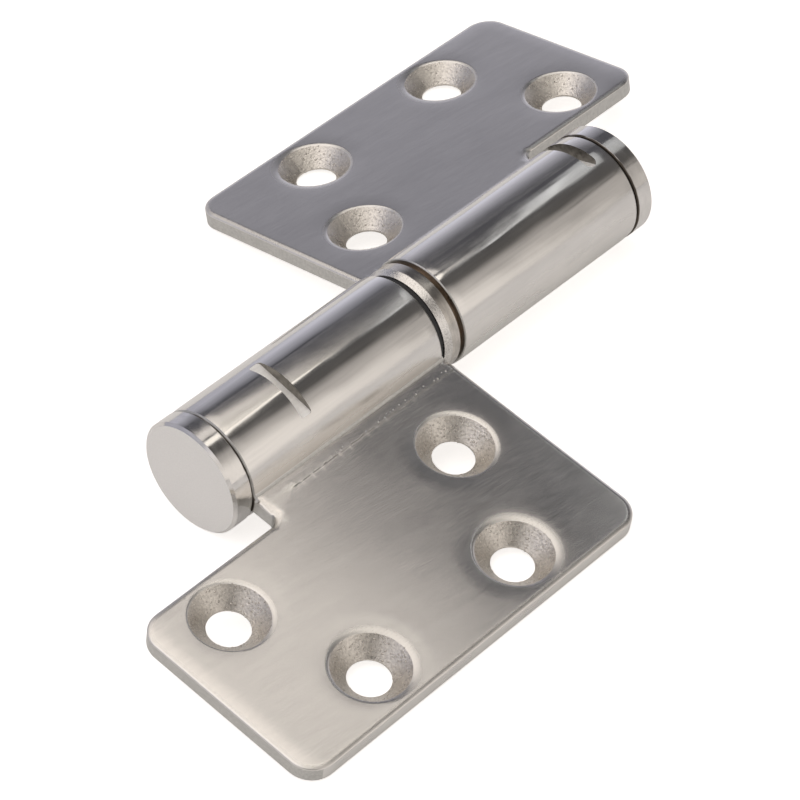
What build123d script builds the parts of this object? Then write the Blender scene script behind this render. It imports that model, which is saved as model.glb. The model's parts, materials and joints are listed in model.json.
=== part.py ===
from build123d import *

import os
from math import asin, atan2, degrees, hypot, radians, tan

# A lift-off flag hinge in cast stainless steel, at its real size in millimetres.
# It lies as it would on a table: the pin runs along Y, z is 0 at the table, and each leaf
# slopes down from the barrel until its outer edge touches. The lower leaf, which carries
# the pin, points to +X, and the upper leaf, which lifts off along +Y, points to -X.
# Each leaf is drawn in a frame of its own: x outwards from the pin axis, y along the pin with
# the leaf on the side of minus y, and z towards the face that the screws enter.

# The leaf plates
leaf_length = 68.0
leaf_thickness = 3.1
leaf_reach = 47.9
leaf_face_height = 1.08
leaf_corner_radius = 4.0
edge_break = 0.45

# The knuckles, each cast in one with its leaf, and the neck between them
knuckle_diameter = 18.3
knuckle_length = 39.9
neck_reach = 14.3
neck_corner_radius = 1.8
barrel_fillet = 0.9
land_width = 1.4
land_rise = 0.12

# The countersunk screw holes: two far apart near the barrel, two closer near the outer edge
screw_hole_diameter = 6.4
countersink_diameter = 12.0
countersink_angle = 90.0
countersink_rim_break = 0.35
inner_row_reach = 21.5
outer_row_reach = 40.35
inner_row_spacing = 45.8
outer_row_spacing = 29.4

# The pin, turned in one with its head, and the plug that closes the upper knuckle
pin_diameter = 11.0
pin_engagement = 22.0
pin_tip_taper_length = 1.5
pin_tip_taper_depth = 0.8
head_thickness = 3.5
head_edge_break = 0.45
head_joint_bevel = 0.2
plug_shank_length = 8.0

# The stack on the pin between the knuckles, and the seat turned for it in each knuckle's end
seat_depth = 0.4
seat_edge_break = 0.2
washer_thickness = 1.2
washer_diameter = 16.4
ring_width = 3.1
ring_diameter = 17.7
ring_bevel_width = 1.2
ring_bevel_depth = 0.45
ring_edge_break = 0.2

# The flanged bush in the upper knuckle
bush_wall = 1.25
bush_length = 24.0
bush_lead_in = 0.5
flange_thickness = 0.6
flange_diameter = 16.8

# The flat locking keys, each let into a pocket milled across its knuckle
key_length = 11.0
key_width = 2.1
key_height = 2.4
key_corner_round = 0.5
key_lean = 7.2
lower_key_depth = 1.85
upper_key_depth = 2.3
lower_key_place = 29.0
upper_key_place = 38.0

# Fits: running between parts that turn or slide, snug between parts that stay put
running_clearance = 0.06
snug_clearance = 0.02
axial_play = 0.05

# How far a cutter stands past the face it opens, and how near a size counts as the same
overrun = 1.0
match = 0.01

# Radii and places that follow from the sizes above
knuckle_radius = knuckle_diameter / 2
pin_radius = pin_diameter / 2
lower_bore_radius = pin_radius + snug_clearance
bush_inner_radius = pin_radius + running_clearance
bush_outer_radius = bush_inner_radius + bush_wall
upper_bore_radius = bush_outer_radius + snug_clearance
leaf_back_height = leaf_face_height - leaf_thickness
stack_length = washer_thickness + ring_width + flange_thickness + 2 * axial_play
seat_place = stack_length / 2
leaf_start = seat_place - seat_depth
leaf_end = leaf_start + leaf_length
leaf_middle = (leaf_start + leaf_end) / 2
knuckle_end = leaf_start + knuckle_length
land_reach = knuckle_radius + barrel_fillet + land_width

# The slope at which a leaf lies: the lowest point of its outer edge is as low as the barrel
edge_x = leaf_reach - edge_break
slope = degrees(asin(knuckle_radius / hypot(edge_x, leaf_back_height)) - atan2(-leaf_back_height, edge_x))


def turned(points):
    """A part turned on the pin axis, from points of (radius, place along the pin)."""
    return revolve(make_face(Polyline(*points, close=True)), Axis.Y)


def bore_space(radius):
    """The space of a straight bore right through a knuckle, in its leaf's frame."""
    start = -knuckle_end - overrun
    end = -leaf_start + overrun
    return turned([(0, start), (radius, start), (radius, end), (0, end)])


def seat_space():
    """The space turned off a knuckle's inner end, down to the face that the stack sits on."""
    clear = knuckle_radius + match
    profile = [
        (0, overrun - leaf_start),
        (0, -seat_place),
        (knuckle_radius - seat_edge_break, -seat_place),
        (clear, -seat_place - seat_edge_break - match),
        (clear, overrun - leaf_start),
    ]
    return turned(profile)


def barrel_section():
    """The section across a knuckle and its neck, with a fillet where the neck meets the barrel."""
    neck = Rectangle(neck_reach, leaf_thickness, align=(Align.MIN, Align.MIN))
    section = Circle(knuckle_radius) + Pos(0, leaf_back_height) * neck
    corners = section.vertices().filter_by(lambda v: abs(hypot(v.X, v.Y) - knuckle_radius) < match)
    return fillet(corners, barrel_fillet)


def leaf_outline():
    """A plate seen from its face, with its inner edge stepping back beyond the knuckle."""
    corners = [
        (0, -leaf_start),
        (leaf_reach, -leaf_start),
        (leaf_reach, -leaf_end),
        (neck_reach, -leaf_end),
        (neck_reach, -knuckle_end),
        (0, -knuckle_end),
    ]
    outline = make_face(Polyline(*corners, close=True))
    outer = outline.vertices().filter_by(lambda v: v.X > leaf_reach - match or v.Y < match - leaf_end)
    outline = fillet(outer, leaf_corner_radius)
    inner = outline.vertices().filter_by(
        lambda v: abs(v.X - neck_reach) < match and abs(v.Y + knuckle_end) < match
    )
    return fillet(inner, neck_corner_radius)


def rim_edges(body):
    """The edges round the plate's face and back, running on round both ends of the knuckle."""

    def on_rim(edge):
        direction = edge.tangent_at(0.5)
        upright = edge.geom_type == GeomType.LINE and abs(direction.Z) > 1 - match
        along_barrel = edge.center().X < neck_reach - match and abs(direction.Y) > 1 - match
        return not upright and not along_barrel

    return body.edges().filter_by(on_rim)


def land():
    """The low cast strip beside the barrel, which the grinding of the plate's face leaves standing."""
    length = knuckle_length - 2 * edge_break
    block = Box(land_reach, length, land_rise, align=(Align.MIN, Align.MAX, Align.MIN))
    return Pos(0, -leaf_start - edge_break, leaf_face_height) * block


def screw_places():
    """The four screw holes of a leaf, as (x, y) in the leaf's frame."""
    rows = [(inner_row_reach, inner_row_spacing), (outer_row_reach, outer_row_spacing)]
    return [(reach, side * spacing / 2 - leaf_middle) for reach, spacing in rows for side in (-1, 1)]


def screw_space():
    """The space of one countersunk hole, with z = 0 at the plate's face."""
    rim = countersink_diameter / 2
    hole = screw_hole_diameter / 2
    sink_depth = (rim - hole) / tan(radians(countersink_angle / 2))
    through = leaf_thickness + overrun
    profile = [(0, 0), (rim, 0), (hole, -sink_depth), (hole, -through), (0, -through)]
    return revolve(Plane.XZ * make_face(Polyline(*profile, close=True)), Axis.Z)


def leaf(bore_radius, pocket):
    """One leaf: the cast shape with its softened edges and land, then what is bored and milled."""
    barrel = Pos(0, -leaf_start, 0) * extrude(Plane.XZ * barrel_section(), knuckle_length)
    plate = Pos(0, 0, leaf_back_height) * extrude(leaf_outline(), leaf_thickness)
    body = barrel + plate
    body = chamfer(rim_edges(body), edge_break) + land()
    for reach, along in screw_places():
        body -= Pos(reach, along, leaf_face_height) * screw_space()
    rims = body.edges().filter_by(GeomType.CIRCLE).filter_by(
        lambda edge: abs(edge.radius - countersink_diameter / 2) < match
    )
    body = chamfer(rims, countersink_rim_break)
    return body - bore_space(bore_radius) - seat_space() - pocket


def headed(shank_points):
    """A turned part with the flat head that covers a knuckle's outer end, in a leaf's frame."""
    outer = -knuckle_end - head_thickness
    head_points = [
        (0, outer),
        (knuckle_radius - head_edge_break, outer),
        (knuckle_radius, outer + head_edge_break),
        (knuckle_radius, -knuckle_end - head_joint_bevel),
        (knuckle_radius - head_joint_bevel, -knuckle_end),
    ]
    return turned(head_points + shank_points)


def hinge_pin(pocket):
    """The pin through the lower knuckle, notched for the lower key, with a tapered tip."""
    tip = leaf_start + pin_engagement
    shank = [
        (pin_radius, -knuckle_end),
        (pin_radius, tip - pin_tip_taper_length),
        (pin_radius - pin_tip_taper_depth, tip),
        (0, tip),
    ]
    return headed(shank) - pocket


def end_plug(pocket):
    """The plug of the upper knuckle, on a short shank notched for the upper key."""
    shank_end = plug_shank_length - knuckle_end
    shank = [(bush_outer_radius, -knuckle_end), (bush_outer_radius, shank_end), (0, shank_end)]
    return headed(shank) - pocket


def across_knuckle(plan, bottom, top, place):
    """A block standing on a plan, between two heights above the pin axis, leaning as the keys do."""
    return Rot(0, key_lean, 0) * Pos(0, -place, bottom) * extrude(plan, top - bottom)


def lower_plan(slack):
    """The lower key seen from above: square ends with small rounded corners."""
    return RectangleRounded(key_length - slack, key_width - slack, key_corner_round)


def upper_plan(slack):
    """The upper key seen from above: ends as round as the mill that cut the pocket."""
    return SlotOverall(key_length - slack, key_width - slack)


def key_and_pocket(plan, depth, place):
    """A key with its face at a depth under the knuckle's crown, and the pocket that it fills."""
    face = knuckle_radius - depth
    floor = face - key_height
    key = across_knuckle(plan(2 * snug_clearance), floor, face, place)
    pocket = across_knuckle(plan(0), floor, knuckle_radius + overrun, place)
    return key, pocket


def washer():
    """The thin sliding washer on the lower knuckle's end."""
    start = -seat_place
    end = start + washer_thickness
    inner = pin_radius + running_clearance
    outer = washer_diameter / 2
    return turned([(inner, start), (outer, start), (outer, end), (inner, end)])


def thrust_ring():
    """The steel ring that carries the upper leaf, bevelled on its lower side."""
    start = washer_thickness + axial_play - seat_place
    end = start + ring_width
    inner = pin_radius + running_clearance
    outer = ring_diameter / 2
    profile = [
        (inner, start),
        (outer - ring_bevel_depth, start),
        (outer, start + ring_bevel_width),
        (outer, end - ring_edge_break),
        (outer - ring_edge_break, end),
        (inner, end),
    ]
    return turned(profile)


def bush():
    """The flanged bush that is pressed into the upper knuckle and runs on the pin."""
    start = seat_place - flange_thickness
    end = seat_place + bush_length
    flange = flange_diameter / 2
    profile = [
        (bush_inner_radius + bush_lead_in, start),
        (flange, start),
        (flange, seat_place),
        (bush_outer_radius, seat_place),
        (bush_outer_radius, end),
        (bush_inner_radius, end),
        (bush_inner_radius, start + bush_lead_in),
    ]
    return turned(profile)


def on_table(shape, turn=0):
    """A leaf-frame shape sloped down to the table and turned about the upright axis."""
    return Pos(0, 0, knuckle_radius) * Rot(0, 0, turn) * Rot(0, slope, 0) * shape


def on_pin(shape):
    """A shape about the pin axis, raised to the pin's height."""
    return Pos(0, 0, knuckle_radius) * shape


lower_key, lower_pocket = key_and_pocket(lower_plan, lower_key_depth, lower_key_place)
upper_key, upper_pocket = key_and_pocket(upper_plan, upper_key_depth, upper_key_place)

parts = {
    "lower_leaf": on_table(leaf(lower_bore_radius, lower_pocket)),
    "hinge_pin": on_table(hinge_pin(lower_pocket)),
    "lower_locking_key": on_table(lower_key),
    "sliding_washer": on_pin(washer()),
    "thrust_ring": on_pin(thrust_ring()),
    "upper_leaf": on_table(leaf(upper_bore_radius, upper_pocket), 180),
    "upper_bush": on_pin(bush()),
    "upper_end_plug": on_table(end_plug(upper_pocket), 180),
    "upper_locking_key": on_table(upper_key, 180),
}

os.makedirs("parts", exist_ok=True)
for name, shape in parts.items():
    export_step(shape, f"parts/{name}.step")
    box = shape.bounding_box()
    print(name, [round(v, 2) for v in (*box.min, *box.max)])
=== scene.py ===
# %% [markdown]
# A cast stainless steel flag hinge, lying on a pale table. The solids of every part are
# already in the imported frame, at their real size and in their real place. This lesson
# dresses them, as a finisher would after the foundry: camera and light first, then the two
# castings with their soft edges, then one finish after another, and the small marks of
# casting and grinding last.

# %% Load the frame
import json
from math import ceil, cos, pi, radians, sin

import bmesh
import bpy
import numpy as np
from mathutils import Euler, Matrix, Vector, noise
from mathutils.geometry import delaunay_2d_cdt


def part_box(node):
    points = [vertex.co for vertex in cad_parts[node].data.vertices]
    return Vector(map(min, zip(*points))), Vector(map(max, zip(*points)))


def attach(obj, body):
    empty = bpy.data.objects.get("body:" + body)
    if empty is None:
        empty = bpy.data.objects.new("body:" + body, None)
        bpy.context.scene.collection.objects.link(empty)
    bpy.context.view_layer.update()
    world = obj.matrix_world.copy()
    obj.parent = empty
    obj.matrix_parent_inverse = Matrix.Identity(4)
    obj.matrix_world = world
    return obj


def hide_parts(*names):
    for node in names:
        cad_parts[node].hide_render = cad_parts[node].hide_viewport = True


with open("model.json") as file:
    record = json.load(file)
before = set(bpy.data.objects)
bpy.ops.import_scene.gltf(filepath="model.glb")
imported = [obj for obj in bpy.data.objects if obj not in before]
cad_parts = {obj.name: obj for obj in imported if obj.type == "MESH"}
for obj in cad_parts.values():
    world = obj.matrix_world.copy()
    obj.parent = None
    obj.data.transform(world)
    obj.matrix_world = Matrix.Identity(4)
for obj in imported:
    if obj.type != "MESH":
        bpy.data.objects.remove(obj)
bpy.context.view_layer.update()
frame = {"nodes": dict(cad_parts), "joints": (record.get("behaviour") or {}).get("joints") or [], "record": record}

MM = 0.001

# %% [markdown]
# The camera stands where the photographer stood: about half a metre off, in front and to
# the right, looking down at some 43 degrees, through a long lens that keeps the leaves'
# edges nearly parallel. It is aimed first, then rolled by the small angle that the
# photographer's tripod was off the level.

# %% Camera
aim_point = Vector((10.7, -13.4, 9.15)) * MM
camera_distance = 506.7 * MM
camera_bearing = radians(43.05)
camera_height_angle = radians(42.92)
camera_roll = radians(-0.35)
lens_mm = 158.1
nearest_seen = 10 * MM

towards_camera = Vector((
    sin(camera_bearing) * cos(camera_height_angle),
    -cos(camera_bearing) * cos(camera_height_angle),
    sin(camera_height_angle),
))
camera_data = bpy.data.cameras.new("camera")
camera_data.lens = lens_mm
camera_data.clip_start = nearest_seen
camera = bpy.data.objects.new("camera", camera_data)
camera.rotation_mode = "QUATERNION"
camera.location = aim_point + towards_camera * camera_distance
level = (-towards_camera).to_track_quat("-Z", "Y")
camera.rotation_quaternion = level @ Euler((0, 0, camera_roll)).to_quaternion()
bpy.context.scene.collection.objects.link(camera)
bpy.context.scene.camera = camera
bpy.context.scene.view_settings.view_transform = "Standard"
print("camera at", [round(value, 3) for value in camera.location])

# %% [markdown]
# Node trees are easier to read when a node and its links are made in one line. These
# helpers do that: one adds a node and plugs its inputs, one does a piece of arithmetic, one
# takes a value from one range to another, and one starts a material.

# %% Node helpers
def add(tree, kind, inputs=None, **settings):
    """A new node with its settings. Its inputs are values or the outputs of other nodes."""
    node = tree.nodes.new(kind)
    for name, value in settings.items():
        setattr(node, name, value)
    for name, value in (inputs or {}).items():
        socket = node.inputs[name]
        if isinstance(value, bpy.types.NodeSocket):
            tree.links.new(value, socket)
        else:
            socket.default_value = value
    return node


def maths(tree, operation, *values):
    """The result of one arithmetic node on one, two or three values."""
    return add(tree, "ShaderNodeMath", dict(enumerate(values)), operation=operation).outputs[0]


def spread(tree, value, low, high, to_low=0.0, to_high=1.0, smooth=False):
    """A value taken from one range to another, and held inside it."""
    kind = "SMOOTHSTEP" if smooth else "LINEAR"
    return add(tree, "ShaderNodeMapRange", {
        "Value": value, "From Min": low, "From Max": high, "To Min": to_low, "To Max": to_high,
    }, interpolation_type=kind).outputs["Result"]


def new_material(name):
    """An empty node material, with its tree and its output node."""
    material = bpy.data.materials.new(name)
    material.use_nodes = True
    tree = material.node_tree
    tree.nodes.clear()
    return material, tree, tree.nodes.new("ShaderNodeOutputMaterial")


print("helpers for nodes: add, maths, spread and new_material")

# %% [markdown]
# Polished steel has almost no colour of its own: what is seen on it is the room. The
# photographer's room was a white table and white walls up to knee height, darker above,
# a little warmer on the right than on the left, with a dark shelf along one wall. Somebody in
# dark clothes stood behind the camera, whom the countersinks mirror. A picture of a studio
# could be wrapped round the scene, but the world below says the same in a few sums on the
# direction of a ray. The camera itself sees plain white, as in a catalogue picture.

# %% Room
wall_slant = -1.19          # past the room's corner, right is more than 1.19 times forward,
wall_rise = 0.42            # and there the white reaches higher up by this much
white_below, dark_above = 1.04, 0.115   # strengths at the level of the table and high up
dark_from = 0.62            # at this height the room has grown dark
left_limits = (0.56, 1.0)   # the strongest light on the left, to the sides and straight ahead
right_limits = (0.52, 1.04)     # and on the right, before the corner and past it
shelf_height, shelf_shade = 0.575, 0.45
photographer = (0.62, -0.55, 0.56)      # the direction of the dark clothes behind the camera
clothes_shade = 0.12
left_tint, right_tint = (0.87, 0.875, 1.0, 1.0), (1.0, 0.945, 0.895, 1.0)


def build_room():
    """A world whose light depends on its direction alone, and which the camera sees as white."""
    world = bpy.data.worlds.new("photo_room")
    world.use_nodes = True
    tree = world.node_tree
    tree.nodes.clear()
    output = tree.nodes.new("ShaderNodeOutputWorld")
    place = add(tree, "ShaderNodeTexCoord").outputs["Generated"]
    split = add(tree, "ShaderNodeSeparateXYZ", {0: place})
    right, forward, up = (split.outputs[axis] for axis in "XYZ")
    past_corner = maths(tree, "MULTIPLY_ADD", forward, wall_slant, right)
    white_wall = spread(tree, past_corner, -0.45, 0.15, 0.0, wall_rise, smooth=True)
    height = maths(tree, "SUBTRACT", up, white_wall)
    by_height = spread(tree, height, 0.0, dark_from, white_below, dark_above)
    brightest_left = spread(tree, forward, 0.46, 0.60, *left_limits, smooth=True)
    brightest_right = spread(tree, past_corner, 0.0, 0.2, *right_limits, smooth=True)
    brightest = add(tree, "ShaderNodeMix", {
        0: spread(tree, right, -0.1, 0.1), 2: brightest_left, 3: brightest_right,
    }).outputs[0]
    strength = maths(tree, "MINIMUM", by_height, brightest)
    from_shelf = maths(tree, "ABSOLUTE", maths(tree, "SUBTRACT", up, shelf_height))
    shelf = spread(tree, from_shelf, 0.008, 0.022, shelf_shade, 1.0, smooth=True)
    shelf = maths(tree, "MAXIMUM", shelf, spread(tree, past_corner, -0.16, -0.10))
    strength = maths(tree, "MULTIPLY", strength, shelf)
    towards = add(tree, "ShaderNodeVectorMath", {
        0: place, 1: photographer,
    }, operation="DOT_PRODUCT").outputs["Value"]
    clothes = spread(tree, towards, 0.86, 0.97, 1.0, clothes_shade, smooth=True)
    strength = maths(tree, "MULTIPLY", strength, clothes)
    tint = add(tree, "ShaderNodeMix", {
        0: spread(tree, right, -0.6, 0.6, smooth=True), 6: left_tint, 7: right_tint,
    }, data_type="RGBA").outputs[2]
    room = add(tree, "ShaderNodeBackground", {"Color": tint, "Strength": strength})
    white = add(tree, "ShaderNodeBackground", {"Color": (1, 1, 1, 1), "Strength": 1.0})
    path = add(tree, "ShaderNodeLightPath")
    mix = add(tree, "ShaderNodeMixShader", {
        0: path.outputs["Is Camera Ray"], 1: room.outputs[0], 2: white.outputs[0],
    })
    tree.links.new(mix.outputs[0], output.inputs["Surface"])
    bpy.context.scene.world = world
    print("room", world.name, "has", len(tree.nodes), "nodes")


build_room()

# %% [markdown]
# One wide softbox hangs level above the hinge. Its far edge is what matters: the near leaf
# mirrors that edge, so the leaf runs from bright at its outer end to dark by the knuckle, and
# the round knuckles catch it only in one narrow streak. Two strips carry on from the edge, so
# that it fades in steps. Smaller panels beyond stand for the window and its frame, which draw
# the streaks on the knuckles, and one panel on the camera's side lights what faces us. Area
# lamps do this better than a bright patch in the world, because each keeps a clean edge.

# %% Softboxes
lamp_height = 0.70


def softbox(name, corner, size, turn, strength, colour, shape="RECTANGLE"):
    """A level panel shining down, hung by its right-hand far corner and turned about it."""
    data = bpy.data.lights.new(name, "AREA")
    data.shape = shape
    data.size, data.size_y = size
    area = size[0] * size[1] * (pi / 4 if shape == "ELLIPSE" else 1)
    data.energy = strength * area * pi
    data.color = colour
    lamp = bpy.data.objects.new(name, data)
    middle = Vector((-size[0] / 2, -size[1] / 2, 0))
    middle.rotate(Euler((0, 0, radians(turn))))
    lamp.location = Vector((*corner, lamp_height)) + middle
    lamp.rotation_euler = (0, 0, radians(turn))
    bpy.context.scene.collection.objects.link(lamp)
    print("softbox", name, "power", round(data.energy, 2), "W")


# name, corner and size in metres, turn in degrees, strength, colour
softbox("overhead", (-0.065, 0.280), (0.80, 0.90), 12, 1.12, (1.0, 0.935, 0.87))
softbox("overhead_rim", (-0.065, 0.350), (0.80, 0.07), 12, 0.72, (1.0, 0.94, 0.88))
softbox("overhead_edge", (-0.065, 0.416), (0.80, 0.068), 12, 0.93, (1.0, 0.94, 0.88))
softbox("window", (0.125, 0.450), (0.185, 0.66), 12, 1.36, (1.0, 0.95, 0.875), shape="ELLIPSE")
softbox("streak", (0.115, 0.502), (0.30, 0.042), -11, 0.94, (0.97, 0.99, 1.0))
softbox("streak_tail", (0.100, 0.595), (0.38, 0.085), -8, 0.50, (0.96, 0.99, 1.0))
softbox("camera_side", (0.300, -0.150), (0.28, 0.60), 0, 1.10, (1.0, 0.96, 0.92))


# %% [markdown]
# The table is white card. Its colour alone would render light grey under this soft light,
# so it glows a little for the camera and for reflections, and keeps the hinge's shadow.

# %% Table
table_reach = 6.0
card_colour = (0.8, 0.8, 0.8, 1)
glow_colour = (1.0, 0.97, 0.94, 1)
glow_seen, glow_mirrored = 0.75, 0.20    # for the camera, and for reflections


def build_table():
    """The card that the hinge lies on, which is stage and no part of the hinge."""
    corners = [(x * table_reach, y * table_reach, 0) for x, y in ((-1, -1), (1, -1), (1, 1), (-1, 1))]
    mesh = bpy.data.meshes.new("table")
    mesh.from_pydata(corners, [], [(0, 1, 2, 3)])
    table = bpy.data.objects.new("table", mesh)
    bpy.context.scene.collection.objects.link(table)
    material, tree, output = new_material("white_card")
    card = add(tree, "ShaderNodeBsdfDiffuse", {"Color": card_colour})
    path = add(tree, "ShaderNodeLightPath")
    seen = maths(tree, "MULTIPLY", path.outputs["Is Camera Ray"], glow_seen)
    mirrored = maths(tree, "MULTIPLY", path.outputs["Is Glossy Ray"], glow_mirrored)
    glow = maths(tree, "ADD", seen, mirrored)
    emission = add(tree, "ShaderNodeEmission", {"Color": glow_colour, "Strength": glow})
    both = add(tree, "ShaderNodeAddShader", {0: card.outputs[0], 1: emission.outputs[0]})
    tree.links.new(both.outputs[0], output.inputs["Surface"])
    mesh.materials.append(material)
    print("table", 2 * table_reach, "m wide, white card")


build_table()

# %% [markdown]
# Each leaf is one casting with its knuckle. The record's screw mounts say where a leaf's
# screw holes are and which way its face looks, so a leaf's own axes are read from there:
# how far a point reaches out from the pin, how far along the pin it lies from the middle
# of the hinge, and how high above the pin's level.

# %% Leaf axes
pin_centre = Vector(frame["joints"][0]["pos_m"])
mounts = {mount["name"]: mount for mount in frame["record"]["mounts"]}


class LeafAxes:
    """Places on one leaf, in millimetres: reach from the pin, place along it, height over it."""

    def __init__(self, side):
        self.up = Vector(mounts[f"{side}_inner_screws"]["axis"])
        start = Vector(mounts[f"{side}_inner_screws"]["pos_m"])
        self.along = Vector((0, 1 if start.y > 0 else -1, 0))
        self.reach = self.up.cross(self.along)
        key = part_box(f"{side}_locking_key")
        self.key_place = abs(key[0][1] + key[1][1]) / 2 / MM
        self.holes = []
        for row in ("inner", "outer"):
            mount = mounts[f"{side}_{row}_screws"]
            middle = self.place(Vector(mount["pos_m"]))
            for sign in (-1, 1):
                self.holes.append((middle.x, middle.y + sign * mount["dims"]["pcd_mm"] / 2))

    def place(self, point):
        """Where a point of the scene lies on this leaf."""
        arm = point - pin_centre
        return Vector((arm.dot(self.reach), arm.dot(self.along), arm.dot(self.up))) / MM

    def point(self, reach, along, height):
        """The point of the scene at a place on this leaf."""
        return pin_centre + (self.reach * reach + self.along * along + self.up * height) * MM


leaf_axes = {side: LeafAxes(side) for side in ("lower", "upper")}
print("screw holes of a leaf", [(round(x, 2), round(y, 2)) for x, y in leaf_axes["lower"].holes])

# %% [markdown]
# A foundry casting has no sharp edges: tumbling rounds the rim of a leaf, and the
# countersinks have soft polished lips that catch the light as crescents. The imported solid
# has plain bevels there. One could round them with a Bevel modifier, but it stumbles on the
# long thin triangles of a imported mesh. Instead the face of the leaf is taken off a copy, down
# to the lower edge of its bevels, and a new skin is stretched over the opening. The skin's
# height follows a rule: a quarter round near the rim, a lip near each hole, and a slight
# unevenness in between, as a belt grinder leaves it.

# %% Sizes of the skin
rim_round = 0.95            # how far in from the rim the rounding starts
corner_round = 1.1          # extra rounding at the land's outer end, where the castings swell
corner_place, corner_spread = (12.4, 41.4), 3.2
roll_depth, roll_width = 0.13, 3.6    # the face rolls off gently before its rounded rim,
roll_start, roll_full = 50.0, 66.0    # towards the leaf's outer end only
roll_power = 2.2
lip_widths = (0.85, 0.85, 1.45, 1.45)   # one for each screw hole: inner row, then outer row
lip_steepness = 2.6
lip_narrow = 0.34           # how wide a lip is at its narrowest, as a share
lip_facing = (-0.9, 0.7)    # it widens between facing away from the other leaf and facing it
sag_depth, sag_width = 0.06, 3.4      # the face sinks a little towards each hole
land_rise, land_reach, land_edge = 0.12, 11.45, 0.35
land_fade = (35.0, 40.0)    # the land's edge softens between these places along the pin,
land_softening = 6          # and grows wider by this many times
wave_height = 0.022
wave_length, wave_stretch = 15.0, 1.6   # waves are longer along the pin than across it
wave_border = 6.0           # the unevenness fades out over this distance from an edge
worn_beyond = 1.15          # wear ends this far from a hole, as a share of its lip's width
edge_drop = 0.05            # an open edge that lies lower than this belongs to the rim
print("the skin departs from the flat by at most", round(land_rise + wave_height, 3), "mm upwards")

# %% [markdown]
# To change a packed leaf, work on a copy and leave the node's own mesh alone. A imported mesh
# is loose triangles, so the copy's doubles are merged first. Merging loses the normals, which
# is why they are written down at each corner before it. The face could be cut off with a
# plane, but its bevels go down below it, so its faces are picked by the way they look and by
# their height.

# %% Opening the face
upright_from = 0.9999       # a face whose normal is this close to the leaf's up is flat
bevel_slopes = (0.5, 0.99)  # and a bevel's normal lies between these
same_point = 1e-7


def leaf_copy(node):
    """A merged copy of a packed leaf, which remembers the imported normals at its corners."""
    mesh = frame["nodes"][node].data.copy()
    normals = np.zeros(len(mesh.loops) * 3, np.float32)
    mesh.corner_normals.foreach_get("vector", normals)
    mesh.attributes.new("kept_normal", "FLOAT_VECTOR", "CORNER").data.foreach_set("vector", normals)
    solid = bmesh.new()
    solid.from_mesh(mesh)
    bmesh.ops.remove_doubles(solid, verts=solid.verts, dist=same_point)
    solid.verts.layers.float.new("worn")
    bpy.data.meshes.remove(mesh)
    return solid


def open_face(solid, axes):
    """Take off the flat face, the land that stands on it and the bevels that touch them."""
    level = {face: axes.place(face.calc_center_median()).z for face in solid.faces}
    look = {face: face.normal.dot(axes.up) for face in solid.faces}
    tops = [face for face in solid.faces if look[face] > upright_from]
    face_height = np.median([level[face] for face in tops])
    flat = {face for face in tops if abs(level[face] - face_height - land_rise / 2) < land_rise}
    corners = {vert for face in flat for vert in face.verts}
    touching = {face for vert in corners for face in vert.link_faces} - flat
    sides = [
        face for face in touching
        if abs(look[face]) < 0.01 and 0 < level[face] - face_height < land_rise
    ]
    bevels = [
        face for face in touching
        if bevel_slopes[0] < look[face] < bevel_slopes[1] and level[face] < face_height
    ]
    bmesh.ops.delete(solid, geom=list(flat) + sides + bevels, context="FACES")
    print("opened the face: took off", len(flat) + len(sides) + len(bevels), "faces")
    return face_height, [edge for edge in solid.edges if edge.is_boundary]


def divide_long(solid, edges, longest):
    """Divide each edge into equal stretches no longer than a given length."""
    by_cuts = {}
    for edge in edges:
        by_cuts.setdefault(ceil(edge.calc_length() / (longest * MM)) - 1, []).append(edge)
    for cuts, group in sorted(by_cuts.items()):
        if cuts:
            bmesh.ops.subdivide_edges(solid, edges=group, cuts=cuts)
    # faces that got many corners by it are cut into triangles again
    bmesh.ops.triangulate(solid, faces=[face for face in solid.faces if len(face.verts) > 4])


def boundary_loops(solid):
    """The open edges' points in order, one list for each loop."""
    open_edges = {edge for edge in solid.edges if edge.is_boundary}
    loops = []
    while open_edges:
        edge = open_edges.pop()
        loop = [edge.verts[0], edge.verts[1]]
        while loop[-1] is not loop[0]:
            edge = next(e for e in loop[-1].link_edges if e in open_edges)
            open_edges.discard(edge)
            loop.append(edge.other_vert(loop[-1]))
        loops.append(loop[:-1])
    return loops


# %% [markdown]
# The skin is laid out flat first, as points in the leaf's own plane: the open edges' points,
# rings of points that follow each edge inwards, and an even field of points between. A
# constrained Delaunay triangulation joins them and keeps the open edges as they are, so the
# skin closes the casting exactly.

# %% Laying out the skin
edge_pitch = 0.55           # between points of an open edge
skin_pitch = 1.1            # between points of the skin
ring_steps = (0.05, 0.17, 0.36, 0.62, 1.0)
lip_steps = (0.06, 0.14, 0.26, 0.42, 0.68, 1.0)
ring_margin = 0.75          # other points stay this far from the rim, so its rings stay unbroken
land_pitch = 0.7            # between points along the land's edge
closest = 0.09              # points of the skin nearer to each other than this are not laid
rim_gap = 0.7               # nor are points nearer to the rim than this share of its first ring
hole_gap = 1.003            # nor points nearer to a hole's middle than this share of its radius
print("points of the skin:", skin_pitch, "mm apart, and", edge_pitch, "mm along an open edge")


def distance_to(points, starts, ends):
    """How far each point is from the nearest of many straight edges."""
    run = ends - starts
    arm = points[:, None] - starts[None]
    share = np.clip((arm * run).sum(2) / (run * run).sum(1), 0, 1)
    return np.linalg.norm(arm - share[..., None] * run, axis=2).min(1)


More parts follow.
